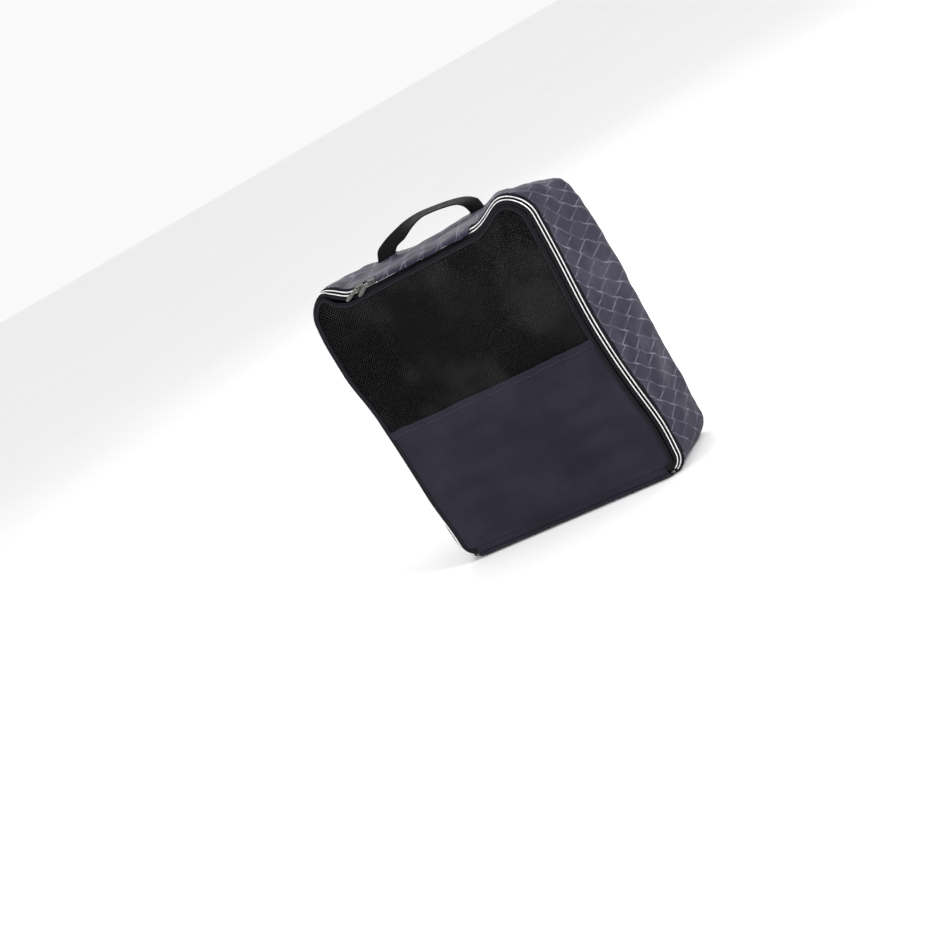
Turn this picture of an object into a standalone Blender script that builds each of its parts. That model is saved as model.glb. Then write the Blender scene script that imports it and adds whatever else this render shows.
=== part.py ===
"""Soft travel shoe bag standing upright with its handle on top.

The bag is a sewn shell: back panel, gusset band and bottom panel. Its front is a
flap, half net and half cloth, closed by a two-slider zip that runs up the left
side, over the top and down the right side. The flap folds down about the bottom
front edge. Metres, width along X, front towards -Y, base on z = 0.
"""

import math

import bmesh
import bpy

for item in list(bpy.data.objects):
    bpy.data.objects.remove(item, do_unlink=True)

# outline of the bag seen from the front
HALF_WIDTH = 0.150
HEIGHT = 0.353
TOP_SAG = 0.011
TOP_RADIUS = 0.032
BOTTOM_RADIUS = 0.022
SAG_LEFT = -0.096
SAG_RIGHT = 0.074

# depth of the bag and thickness of its cloth
FRONT = -0.060
BACK = 0.058
BACK_RADIUS = 0.014
CLOTH = 0.002
NET = 0.001
GAP = 0.0003
FLAP_CROWN = 0.003
BACK_CROWN = 0.006

# zip on the bevel between gusset and flap
CHAIN_INSET = 0.005
CHAIN_Y = -0.053
CHAIN_SLOT = 0.0006
COIL_REACH = 0.0031
COIL_HEIGHT = 0.0019
TAPE_REACH = 0.0067
TAPE = 0.0008
STOP_LENGTH = 0.004

# flap
FLAP_INSET = 0.0102
BINDING_WIDTH = 0.0088
SEAM_HEIGHT = 0.175
HEM = 0.008
FOLD_HEIGHT = 0.0087

# sliders and their pulls
SLIDER_X = {"left": -0.078, "right": -0.062}
SLIDER_HALF = 0.0055
PLATE_HALF = 0.0043
PULL_AXIS = 0.0046
PULL_LENGTH = 0.0205
PULL_YAW = math.radians(33.0)
PULL_BEND = 0.0032

# handle
HANDLE_ENDS = {"left": -0.084, "right": 0.046}
HANDLE_WIDTH = 0.024
HANDLE_THICK = 0.0014
HANDLE_Y = 0.041
HANDLE_APEX = 0.370


def finish(name, mesh, colour, roughness, parent=None, smooth=30.0):
    """Turn a mesh into a named object with its own material."""
    item = bpy.data.objects.new(name, mesh)
    bpy.context.scene.collection.objects.link(item)
    material = bpy.data.materials.new(name + "_material")
    material.use_nodes = True
    shader = material.node_tree.nodes["Principled BSDF"]
    shader.inputs["Base Color"].default_value = (*colour, 1.0)
    shader.inputs["Roughness"].default_value = roughness
    if "slider" in name or "stop" in name:
        shader.inputs["Metallic"].default_value = 1.0
    mesh.materials.append(material)
    mesh.shade_smooth()
    mesh.set_sharp_from_angle(angle=math.radians(smooth))
    if parent is not None:
        item.parent = parent
        item.matrix_parent_inverse = parent.matrix_world.inverted()
    return item


def axis_empty(name, location, parent=None):
    """Empty on a joint axis that carries the moving pieces."""
    item = bpy.data.objects.new(name, None)
    bpy.context.scene.collection.objects.link(item)
    item.location = location
    item.empty_display_size = 0.02
    bpy.context.view_layer.update()
    if parent is not None:
        item.parent = parent
        item.matrix_parent_inverse = parent.matrix_world.inverted()
        bpy.context.view_layer.update()
    return item


def shell(name, bm):
    """Turn the faces of a bmesh into one closed mesh facing out."""
    bmesh.ops.recalc_face_normals(bm, faces=bm.faces)
    if bm.calc_volume(signed=True) < 0.0:
        bmesh.ops.reverse_faces(bm, faces=bm.faces)
    mesh = bpy.data.meshes.new(name)
    bm.to_mesh(mesh)
    bm.free()
    return mesh


def loft(name, rings, closed=False):
    """Skin rings of equal length; the ends are capped unless the run is closed."""
    bm = bmesh.new()
    loops = [[bm.verts.new(point) for point in ring] for ring in rings]
    count = len(loops[0])
    pairs = list(zip(loops[:-1], loops[1:]))
    if closed:
        pairs.append((loops[-1], loops[0]))
    for first, second in pairs:
        for i in range(count):
            j = (i + 1) % count
            bm.faces.new((first[i], first[j], second[j], second[i]))
    if not closed:
        bm.faces.new(loops[0])
        bm.faces.new(list(reversed(loops[-1])))
    return shell(name, bm)


def smoothstep(value):
    value = min(max(value, 0.0), 1.0)
    return value * value * (3.0 - 2.0 * value)


def top_height(x):
    """Upper edge of the outline: it sags between the two top corners."""
    corner = HALF_WIDTH - TOP_RADIUS
    rise = max((SAG_LEFT - x) / (SAG_LEFT + corner), (x - SAG_RIGHT) / (corner - SAG_RIGHT))
    return HEIGHT - TOP_SAG * (1.0 - smoothstep(rise))


def corner_arc(side, centre_x, centre_z, radius, start, stop, steps):
    """Stations (x, z, normal x, normal z) on one rounded corner."""
    arc = []
    for i in range(steps + 1):
        turn = math.radians(start + (stop - start) * i / steps)
        nx = side * math.cos(turn)
        nz = math.sin(turn)
        arc.append((side * centre_x + radius * nx, centre_z + radius * nz, nx, nz))
    return arc


def half_outline(side):
    """Stations from the bottom centre corner up one side to the top corner."""
    lower = corner_arc(side, HALF_WIDTH - BOTTOM_RADIUS, BOTTOM_RADIUS, BOTTOM_RADIUS, -90, 0, 6)
    upper_z = HEIGHT - TOP_RADIUS
    upper = corner_arc(side, HALF_WIDTH - TOP_RADIUS, upper_z, TOP_RADIUS, 0, 90, 7)
    middle = []
    for i in range(1, 6):
        z = BOTTOM_RADIUS + (upper_z - BOTTOM_RADIUS) * i / 6
        middle.append((side * HALF_WIDTH, z, side, 0.0))
    return lower + middle + upper


def top_edge():
    """Stations along the top between the corners, left to right."""
    corner = HALF_WIDTH - TOP_RADIUS
    xs = [-corner + (SAG_LEFT + corner) * i / 4 for i in range(1, 5)]
    xs += [SAG_LEFT + (SAG_RIGHT - SAG_LEFT) * i / 6 for i in range(1, 6)]
    xs += [SAG_RIGHT + (corner - SAG_RIGHT) * i / 6 for i in range(0, 6)]
    edge = []
    for x in xs:
        slope = (top_height(x + 1e-5) - top_height(x - 1e-5)) / 2e-5
        length = math.hypot(1.0, slope)
        edge.append((x, top_height(x), -slope / length, 1.0 / length))
    return edge


STATIONS = half_outline(-1) + top_edge() + list(reversed(half_outline(1)))


def bottom_edge():
    """Stations along the bottom from right to left, ends left out."""
    reach = HALF_WIDTH - BOTTOM_RADIUS
    return [(reach * (1 - i / 3), 0.0, 0.0, -1.0) for i in range(1, 6)]


def crown(x, z, height):
    """Bulge of a panel, nothing at its border and full in the middle."""
    across = 1.0 - (x / HALF_WIDTH) ** 2
    along = 1.0 - ((z - HEIGHT / 2) / (HEIGHT / 2)) ** 2
    return height * max(across, 0.0) * max(along, 0.0)


def sweep(name, stations, profile, closed=False, bulge=0.0):
    """Run a closed (normal, y) profile round the outline of the bag."""
    rings = []
    for x, z, nx, nz in stations:
        ring = []
        for n, y in profile:
            px = x + nx * n
            pz = z + nz * n
            ring.append((px, y - crown(px, pz, bulge), pz))
        rings.append(ring)
    return loft(name, rings, closed)


def chain_point(across, out):
    """(normal, y) of a point given across the zip, flap side positive, and outward."""
    k = math.sqrt(0.5)
    return (-CHAIN_INSET - k * across + k * out, CHAIN_Y - k * across - k * out)


def rounded_back(inset):
    """(normal, y) points round the back edge of the gusset, top to back."""
    points = []
    for i in range(5):
        turn = math.radians(90.0 * i / 4)
        radius = BACK_RADIUS - inset
        points.append((-BACK_RADIUS + radius * math.cos(turn), BACK - BACK_RADIUS + radius * math.sin(turn)))
    return points


def panel(name, columns, low, high, rows, front, back):
    """Closed sheet whose columns run from low to high between two y surfaces."""
    bm = bmesh.new()
    sides = []
    for surface in (front, back):
        grid = []
        for x in columns:
            line = []
            for i in range(rows + 1):
                z = low(x) + (high(x) - low(x)) * i / rows
                line.append(bm.verts.new((x, surface(x, z), z)))
            grid.append(line)
        sides.append(grid)
    first, second = sides
    last = len(columns) - 1
    for grid in sides:
        for i in range(last):
            for j in range(rows):
                bm.faces.new((grid[i][j], grid[i + 1][j], grid[i + 1][j + 1], grid[i][j + 1]))
    for i in range(last):
        for j in (0, rows):
            bm.faces.new((first[i][j], first[i + 1][j], second[i + 1][j], second[i][j]))
    for i in (0, last):
        for j in range(rows):
            bm.faces.new((first[i][j], first[i][j + 1], second[i][j + 1], second[i][j]))
    return shell(name, bm)


def inset_border(inset):
    """Upper border of a panel set in from the outline, as matching x and z lists."""
    border = []
    for x, z, nx, nz in STATIONS:
        if nz > -1e-6 and z > HEIGHT - TOP_RADIUS - 1e-6:
            border.append((x - nx * inset, z - nz * inset))
    return border


def border_height(border):
    """Height of the border as a function of x."""
    heights = {round(x, 7): z for x, z in border}
    return lambda x: heights[round(x, 7)]


def corner_height(inset):
    """Lower border of a panel with rounded bottom corners."""
    centre = HALF_WIDTH - BOTTOM_RADIUS

    def height(x):
        over = max(abs(x) - centre, 0.0)
        radius = BOTTOM_RADIUS - inset
        return BOTTOM_RADIUS - math.sqrt(max(radius * radius - over * over, 0.0))

    return height


def prism(name, outline, low, high, place):
    """Extrude a flat outline between two heights; place maps (u, v, w) to space."""
    rings = [[place(u, v, w) for u, v in outline] for w in (low, high)]
    return loft(name, rings)


def combine(name, meshes, operation="UNION"):
    """Join or cut closed meshes into one closed mesh."""
    items = []
    for i, mesh in enumerate(meshes):
        item = bpy.data.objects.new(f"{name}_{i}", mesh)
        bpy.context.scene.collection.objects.link(item)
        items.append(item)
    for other in items[1:]:
        modifier = items[0].modifiers.new("join", "BOOLEAN")
        modifier.operation = operation
        modifier.solver = "EXACT"
        modifier.object = other
    graph = bpy.context.evaluated_depsgraph_get()
    result = bpy.data.meshes.new_from_object(items[0].evaluated_get(graph))
    result.name = name
    for item in items:
        bpy.data.objects.remove(item, do_unlink=True)
    return result


NAVY = (0.052, 0.050, 0.090)
NAVY_DARK = (0.040, 0.038, 0.062)
BLACK = (0.012, 0.012, 0.014)
SILVER = (0.55, 0.55, 0.57)
GUNMETAL = (0.30, 0.29, 0.28)

# ---------------------------------------------------------------- sewn shell
border = inset_border(BACK_RADIUS + GAP)
mesh = panel(
    "back_panel",
    [x for x, z in border],
    corner_height(BACK_RADIUS + GAP),
    border_height(border),
    10,
    lambda x, z: BACK - CLOTH + crown(x, z, BACK_CROWN),
    lambda x, z: BACK + crown(x, z, BACK_CROWN),
)
finish("back_panel", mesh, NAVY, 0.6)

gusset_profile = [(0.0, -0.0470)] + rounded_back(0.0)
gusset_profile += list(reversed(rounded_back(CLOTH))) + [(-CLOTH, -0.0470)]
left_run = half_outline(-1) + [s for s in top_edge() if s[0] < SAG_LEFT + 1e-6]
right_run = [s for s in top_edge() if s[0] > SAG_RIGHT - 1e-6] + list(reversed(half_outline(1)))
flat_left = SAG_LEFT + GAP
flat_right = SAG_RIGHT - GAP
flat_z = top_height(0.0)
top_run = [(flat_left + (flat_right - flat_left) * i / 3, flat_z, 0.0, 1.0) for i in range(4)]
for side, run in (("left", left_run), ("top", top_run), ("right", right_run)):
    name = "gusset_" + side
    finish(name, sweep(name, run, gusset_profile), NAVY, 0.6)

outer = [(-FOLD_HEIGHT, FRONT), (-0.0050, -0.0590), (-0.0020, -0.0560), (0.0, -0.0510)]
inner = [(-CLOTH, -0.0505), (-0.0036, -0.0547), (-0.0062, -0.0573), (-FOLD_HEIGHT, FRONT + CLOTH)]
bottom_profile = outer + rounded_back(0.0) + list(reversed(rounded_back(CLOTH))) + inner
reach = HALF_WIDTH - BOTTOM_RADIUS - GAP
ends = [(-reach, 0.0, 0.0, -1.0), (0.0, 0.0, 0.0, -1.0), (reach, 0.0, 0.0, -1.0)]
finish("bottom_panel", sweep("bottom_panel", ends, bottom_profile), NAVY_DARK, 0.65)

binding = [(-0.0150, 0.0480), (-0.0150, 0.0555), (-0.0168, 0.0555), (-0.0168, 0.0480)]
loop = STATIONS + bottom_edge()
mesh = sweep("back_seam_binding", loop, binding, closed=True)
finish("back_seam_binding", mesh, BLACK, 0.8)

# ---------------------------------------------------------------- zip, body side
tape = [(-TAPE_REACH, 0.0), (-TAPE_REACH, -TAPE), (-CHAIN_SLOT, -TAPE), (-CHAIN_SLOT, 0.0)]
coil = [
    (-COIL_REACH, GAP),
    (-COIL_REACH + 0.0003, COIL_HEIGHT - 0.0006),
    (-(COIL_REACH + CHAIN_SLOT) / 2, COIL_HEIGHT),
    (-CHAIN_SLOT - 0.0003, COIL_HEIGHT - 0.0006),
    (-CHAIN_SLOT, GAP),
]
stop = [(-0.0035, GAP), (-0.0035, 0.0024), (-0.0005, 0.0024), (-0.0005, GAP)]
chain_run = STATIONS[2:-2]
mesh = sweep("zip_tape_body", STATIONS, [chain_point(a, o) for a, o in tape])
finish("zip_tape_body", mesh, BLACK, 0.8)
mesh = sweep("zip_coil_body", chain_run, [chain_point(a, o) for a, o in coil])
finish("zip_coil_body", mesh, SILVER, 0.35, smooth=60.0)

stop_profile = [chain_point(a, o) for a, o in stop]
left_stop = [STATIONS[0], STATIONS[1]]
right_stop = [STATIONS[-2], STATIONS[-1]]
for side, run in (("left", left_stop), ("right", right_stop)):
    name = "zip_stop_" + side
    finish(name, sweep(name, run, stop_profile), GUNMETAL, 0.4)

# ---------------------------------------------------------------- flap
flap_axis = axis_empty("flap_axis", (0.0, FRONT, FOLD_HEIGHT))
net_inset = FLAP_INSET + BINDING_WIDTH + GAP
net_border = inset_border(net_inset)
side_x = HALF_WIDTH - net_inset
fold_x = HALF_WIDTH - BOTTOM_RADIUS - GAP
cloth_columns = [-side_x, -fold_x - GAP, -fold_x]
cloth_columns += [fold_x * (i / 5 - 1) for i in range(1, 10)]
cloth_columns += [fold_x, fold_x + GAP, side_x]


def cloth_low(x):
    if abs(x) <= fold_x + 1e-7:
        return FOLD_HEIGHT + GAP
    return corner_height(net_inset)(x)


mesh = panel(
    "flap_lower_panel",
    cloth_columns,
    cloth_low,
    lambda x: SEAM_HEIGHT,
    6,
    lambda x, z: FRONT - crown(x, z, FLAP_CROWN),
    lambda x, z: FRONT + CLOTH - crown(x, z, FLAP_CROWN),
)
finish("flap_lower_panel", mesh, NAVY_DARK, 0.65, flap_axis)

mesh = panel(
    "flap_net",
    [x for x, z in net_border],
    lambda x: SEAM_HEIGHT + GAP,
    border_height(net_border),
    8,
    lambda x, z: FRONT + 0.0004 - crown(x, z, FLAP_CROWN),
    lambda x, z: FRONT + 0.0004 + NET - crown(x, z, FLAP_CROWN),
)
finish("flap_net", mesh, BLACK, 0.9, flap_axis)

hem_columns = [side_x * (i / 6 - 1) for i in range(13)]
mesh = panel(
    "panel_hem",
    hem_columns,
    lambda x: SEAM_HEIGHT - HEM / 2,
    lambda x: SEAM_HEIGHT + HEM / 2,
    2,
    lambda x, z: FRONT - GAP - 0.0012 - crown(x, z, FLAP_CROWN),
    lambda x, z: FRONT - GAP - 0.0002 - crown(x, z, FLAP_CROWN),
)
finish("panel_hem", mesh, NAVY_DARK, 0.65, flap_axis)

low = -FLAP_INSET
high = -FLAP_INSET - BINDING_WIDTH
profile = [(low, FRONT), (low, FRONT + 0.0015), (high, FRONT + 0.0015), (high, FRONT)]
mesh = sweep("flap_binding", STATIONS, profile, bulge=FLAP_CROWN)
finish("flap_binding", mesh, BLACK, 0.8, flap_axis)

mesh = sweep("zip_tape_flap", STATIONS, [chain_point(-a, o) for a, o in tape])
finish("zip_tape_flap", mesh, BLACK, 0.8, flap_axis)
mesh = sweep("zip_coil_flap", chain_run, [chain_point(-a, o) for a, o in coil])
finish("zip_coil_flap", mesh, SILVER, 0.35, flap_axis, smooth=60.0)


# ---------------------------------------------------------------- sliders
def slider_space(centre):
    """Map (along the zip, across it, outward) at one slider to space."""

    def place(t, a, o):
        n, y = chain_point(a, o)
        return (centre + t, y, top_height(0.0) + n)

    return place


def pull_outline():
    """Plan of a pull: eye end, swelling blade and a pointed round tip."""
    upper = []
    widths = [(-0.0008, 0.0022), (-0.0004, 0.0029), (0.0010, 0.0032), (0.0050, 0.0030), (0.0066, 0.0021)]
    widths += [(0.0085, 0.0021), (0.0130, 0.0026), (0.0165, 0.0028), (0.0185, 0.0021), (0.0198, 0.0010)]
    for u, half in widths:
        upper.append((u, half))
    lower = [(u, -half) for u, half in reversed(upper)]
    return upper + [(PULL_LENGTH, 0.0)] + lower


def bend(u):
    """Yaw of the pull: straight at the eye, turned towards the flap at the blade."""
    return PULL_YAW * smoothstep((u - PULL_BEND) / 0.004)


for side, centre in SLIDER_X.items():
    place = slider_space(centre)
    slide_axis = axis_empty(f"slider_{side}_axis", place(0.0, 0.0, 0.0), flap_axis)
    plan = [(-SLIDER_HALF, -0.0030), (-SLIDER_HALF, 0.0030), (-0.0030, PLATE_HALF)]
    plan += [(0.0030, PLATE_HALF), (SLIDER_HALF, 0.0032), (SLIDER_HALF, -0.0032)]
    plan += [(0.0030, -PLATE_HALF), (-0.0030, -PLATE_HALF)]
    top = prism("top", plan, COIL_HEIGHT + GAP, 0.0034, place)
    under = [(-0.0050, -0.0003), (-0.0050, 0.0030), (0.0050, 0.0030), (0.0050, -0.0003)]
    bottom = prism("bottom", under, -TAPE - GAP - 0.0010, -TAPE - GAP, place)
    web = [(-0.0045, -0.0003), (-0.0045, 0.0003), (0.0045, 0.0003), (0.0045, -0.0003)]
    neck = prism("neck", web, -TAPE - GAP - 0.0005, 0.0030, place)
    arch = [(-0.0046, 0.0030), (-0.0046, 0.0058), (-0.0036, 0.0070), (0.0036, 0.0070), (0.0046, 0.0058)]
    arch += [(0.0046, 0.0030), (0.0034, 0.0030), (0.0034, 0.0058), (-0.0034, 0.0058), (-0.0034, 0.0030)]
    bridge = prism("bridge", arch, -0.0008, 0.0008, lambda t, o, a: place(t, a, o))
    mesh = combine(f"slider_{side}_body", [top, bottom, neck, bridge])
    finish(f"slider_{side}_body", mesh, GUNMETAL, 0.35, slide_axis)

    pull_axis = axis_empty(f"pull_{side}_axis", place(0.0, 0.0, PULL_AXIS), slide_axis)

    def pull_place(u, v, o):
        yaw = bend(u)
        beyond = max(u - PULL_BEND, 0.0)
        along = u - beyond + beyond * math.cos(yaw) - v * math.sin(yaw)
        over = beyond * math.sin(yaw) + v * math.cos(yaw)
        return place(-along, over, o)

    blade = prism("blade", pull_outline(), PULL_AXIS - 0.0007, PULL_AXIS + 0.0007, pull_place)
    eye = [(0.0008, -0.0018), (0.0008, 0.0018), (0.0052, 0.0018), (0.0052, -0.0018)]
    hole = prism("hole", eye, PULL_AXIS - 0.002, PULL_AXIS + 0.002, pull_place)
    dish = [(0.0100, -0.0011), (0.0100, 0.0011), (0.0160, 0.0015), (0.0172, 0.0), (0.0160, -0.0015)]
    pocket = prism("pocket", dish, PULL_AXIS + 0.0004, PULL_AXIS + 0.002, pull_place)
    mesh = combine(f"slider_{side}_pull", [blade, hole, pocket], "DIFFERENCE")
    finish(f"slider_{side}_pull", mesh, GUNMETAL, 0.35, pull_axis)

# ---------------------------------------------------------------- handle
top_z = top_height(0.0)
handle_z = top_z + GAP + HANDLE_THICK / 2
handle_axis = axis_empty("handle_axis", (0.0, HANDLE_Y, handle_z))
rings = []
steps = 26
for i in range(steps + 1):
    s = i / steps
    turn = math.pi * smoothstep(s)
    lean = 0.62 + 0.38 * s
    x = HANDLE_ENDS["left"] + (HANDLE_ENDS["right"] - HANDLE_ENDS["left"]) * s
    start = handle_z + 0.0012
    z = start + (HANDLE_APEX - start) * math.sin(math.pi * s) ** lean
    wide = (-math.cos(turn), math.sin(turn))
    slope = math.cos(math.pi * s)
    face = (slope * math.sin(turn) * -0.6, slope * math.cos(turn) * -0.6, 1.0 - 0.55 * abs(slope))
    if i in (0, steps):
        face = (0.0, 1.0 if i else -1.0, 0.0)
    length = math.sqrt(sum(c * c for c in face))
    face = [c / length for c in face]
    ring = []
    for w, t in ((-1, -1), (1, -1), (1, 1), (-1, 1)):
        half = HANDLE_WIDTH / 2 * w
        thick = HANDLE_THICK / 2 * t
        px = x + wide[0] * half + face[0] * thick
        py = HANDLE_Y + wide[1] * half + face[1] * thick
        ring.append((px, py, z + face[2] * thick))
    rings.append(ring)
finish("handle_webbing", loft("handle_webbing", rings), BLACK, 0.8, handle_axis)

for side, centre in HANDLE_ENDS.items():
    outer = []
    inner = []
    for i in range(5):
        turn = math.radians(90.0 * i / 4 * 0.9)
        for points, radius in ((outer, GAP + HANDLE_THICK), (inner, GAP)):
            reach = BACK_RADIUS + radius
            points.append((-BACK_RADIUS + reach * math.cos(turn), BACK - BACK_RADIUS + reach * math.sin(turn)))
    profile = outer + list(reversed(inner))
    half = HANDLE_WIDTH / 2
    run = [(centre - half, top_z, 0.0, 1.0), (centre + half, top_z, 0.0, 1.0)]
    name = "handle_end_" + side
    finish(name, sweep(name, run, profile), BLACK, 0.8)
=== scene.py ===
"""Looks of the soft shoe bag: cloth shell, netted flap, silver zip, pulls and webbing handle."""

import math
from itertools import product

import bmesh
import bpy
import numpy as np
from mathutils import Matrix, Vector


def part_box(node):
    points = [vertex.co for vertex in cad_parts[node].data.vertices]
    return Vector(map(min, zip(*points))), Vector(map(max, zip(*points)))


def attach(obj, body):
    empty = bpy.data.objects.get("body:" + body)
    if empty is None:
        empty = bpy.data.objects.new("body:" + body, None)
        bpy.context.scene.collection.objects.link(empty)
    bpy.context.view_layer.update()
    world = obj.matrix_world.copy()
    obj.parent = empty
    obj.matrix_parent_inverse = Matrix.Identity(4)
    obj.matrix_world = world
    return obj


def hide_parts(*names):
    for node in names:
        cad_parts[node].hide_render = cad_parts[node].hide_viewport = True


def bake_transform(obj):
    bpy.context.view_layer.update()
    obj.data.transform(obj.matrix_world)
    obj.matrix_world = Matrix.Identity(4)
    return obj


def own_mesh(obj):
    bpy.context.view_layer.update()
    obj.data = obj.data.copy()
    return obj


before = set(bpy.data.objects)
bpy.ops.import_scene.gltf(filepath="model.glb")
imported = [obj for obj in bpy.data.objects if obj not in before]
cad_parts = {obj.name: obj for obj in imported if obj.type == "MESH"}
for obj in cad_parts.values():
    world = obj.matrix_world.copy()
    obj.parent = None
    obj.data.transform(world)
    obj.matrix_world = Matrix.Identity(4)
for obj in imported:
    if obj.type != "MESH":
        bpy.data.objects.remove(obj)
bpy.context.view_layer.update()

# Driving sizes in metres, all as the CAD has them: the outline's half width, its corners, the low
# middle of its top, the depths of the back and of the flap's edge, and the radii of the outline.
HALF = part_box("gusset_right")[1].x
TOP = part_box("gusset_right")[1].z
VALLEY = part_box("gusset_top")[1].z
SAG_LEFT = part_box("gusset_top")[0].x
SAG_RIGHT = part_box("gusset_top")[1].x
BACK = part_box("gusset_right")[1].y
FOLD_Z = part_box("flap_lower_panel")[0].z
SEAM_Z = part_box("flap_net")[0].z
FRONT = -0.060
TOP_RADIUS = 0.032
BOTTOM_RADIUS = 0.022
BACK_RADIUS = 0.014
# the zip's chain lies this far inside the outline, at this depth, turned by half a right angle
CHAIN_INSET = 0.005
CHAIN_Y = -0.053
FLAP_CROWN = 0.0022
CLOTH_THICK = 0.0011
# lowest the cloth may sag above the floor, and the height above which a station is on the top
FLOOR_GAP = 0.0003
TOP_ZONE = 0.3
DIAGONAL = math.sqrt(0.5)
FORWARD = np.array([0.0, -1.0, 0.0])


# -------------------- noise
def smooth(value):
    """Ease from 0 to 1 as value goes from 0 to 1."""
    value = np.clip(value, 0.0, 1.0)
    return value * value * (3.0 - 2.0 * value)


def bell(value, centre, width):
    """1 at the centre, falling off smoothly on both sides."""
    return np.exp(-(((value - centre) / width) ** 2))


def lattice(i, j, k, seed):
    """Fixed scattered value between -1 and 1 for each whole-number place."""
    h = (i * 374761393 + j * 668265263 + k * 362437 + seed * 974711) & 0xFFFFFFFF
    h = ((h ^ (h >> 13)) * 1274126177) & 0xFFFFFFFF
    return ((h ^ (h >> 16)) & 0xFFFF) / 32767.5 - 1.0


def noise(x, y, z, seed=0):
    """Smooth value noise between -1 and 1."""
    x, y, z = np.broadcast_arrays(np.asarray(x, float), y, z)
    cell = [np.floor(a).astype(np.int64) for a in (x, y, z)]
    share = [smooth(a - c) for a, c in zip((x, y, z), cell)]
    total = 0.0
    for corner in product((0, 1), repeat=3):
        weight = 1.0
        for far, part in zip(corner, share):
            weight = weight * (part if far else 1 - part)
        i, j, k = [c + far for c, far in zip(cell, corner)]
        total = total + weight * lattice(i, j, k, seed)
    return total


def fbm(x, y, z, size, octaves=3, seed=0):
    """Sum of noises, each half as large and half as strong as the one before."""
    total, gain = 0.0, 1.0
    for i in range(octaves):
        total = total + gain * noise(x / size, y / size, z / size, seed + i)
        size, gain = size * 0.5, gain * 0.5
    return total


# -------------------- outline of the bag
def top_height(x):
    """Height of the bag's top line: a sagging middle between two raised corners."""
    corner = HALF - TOP_RADIUS
    left_foot = SAG_LEFT + 0.006
    rise = np.maximum((left_foot - x) / (left_foot + corner), (x - SAG_RIGHT) / (corner - SAG_RIGHT))
    return TOP - (TOP - VALLEY) * (1.0 - smooth(rise))


def outline(step):
    """Points round the bag from bottom left, over the top, to bottom right, with outward normals."""
    lower = np.radians(np.linspace(-90, 0, 60))
    upper = np.radians(np.linspace(0, 90, 60))
    reach, corner = HALF - BOTTOM_RADIUS, HALF - TOP_RADIUS
    lower_x, lower_z = reach + BOTTOM_RADIUS * np.cos(lower), BOTTOM_RADIUS + BOTTOM_RADIUS * np.sin(lower)
    upper_x, upper_z = corner + TOP_RADIUS * np.cos(upper), TOP - TOP_RADIUS + TOP_RADIUS * np.sin(upper)
    side_z = np.linspace(BOTTOM_RADIUS, TOP - TOP_RADIUS, 200)[1:-1]
    side_x = np.full_like(side_z, HALF)
    top_x = np.linspace(-corner, corner, 400)[1:-1]
    x = np.concatenate([-lower_x, -side_x, -upper_x, top_x, upper_x[::-1], side_x, lower_x[::-1]])
    z = [lower_z, side_z, upper_z, top_height(top_x), upper_z[::-1], side_z[::-1], lower_z[::-1]]
    z = np.concatenate(z)
    length = np.concatenate([[0], np.cumsum(np.hypot(np.diff(x), np.diff(z)))])
    s = np.linspace(0, length[-1], int(round(length[-1] / step)) + 1)
    x, z = np.interp(s, length, x), np.interp(s, length, z)
    # round off the joins between arcs and straights
    for _ in range(max(1, int(0.004 / step))):
        x[1:-1] = (x[:-2] + 2 * x[1:-1] + x[2:]) / 4
        z[1:-1] = (z[:-2] + 2 * z[1:-1] + z[2:]) / 4
    dx, dz = np.gradient(x), np.gradient(z)
    size = np.hypot(dx, dz)
    return {"s": s, "x": x, "z": z, "nx": -dz / size, "nz": dx / size}


def spread(at, knots):
    """Smooth curve near the (place, value) knots."""
    places, values = np.array(knots, float).T
    fine = np.linspace(places[0] - 0.02, places[-1] + 0.02, 400)
    reach = 12
    kernel = np.hanning(2 * reach + 1)
    padded = np.pad(np.interp(fine, places, values), reach, mode="edge")
    return np.interp(at, fine, np.convolve(padded, kernel / kernel.sum(), mode="valid"))


# rise of the rear top edge by x, and how far the right rear edge leans back and the left side
# leans out by z, all set from the photo's outline
REAR_TOP = [
    (-0.150, -0.006), (-0.135, -0.0095), (-0.120, -0.0105), (-0.104, -0.0050), (-0.090, -0.0022),
    (-0.072, -0.0015), (-0.050, -0.0040), (-0.020, -0.0040), (0.034, -0.0020), (0.059, -0.0022),
    (0.072, 0.0076), (0.080, 0.0055), (0.0935, -0.0030), (0.111, -0.0125), (0.125, -0.0170),
    (0.136, -0.0160), (0.144, -0.0080), (0.150, -0.0050),
]
REAR_SIDE = [
    (0.0, 0.000), (0.028, 0.002), (0.054, 0.006), (0.075, 0.010), (0.117, 0.0155), (0.157, 0.0185),
    (0.26, 0.0195), (0.295, 0.017), (0.315, 0.0125), (0.335, 0.004), (0.353, 0.001),
]
LEFT_SIDE = [
    (0.0, 0.0), (0.10, 0.001), (0.20, 0.0015), (0.225, 0.004), (0.250, 0.0068), (0.300, 0.0062),
    (0.320, 0.0035), (0.345, 0.0),
]
# share of REAR_SIDE that is used, which keeps the back near the CAD's
REAR_SHARE = 0.86


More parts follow.
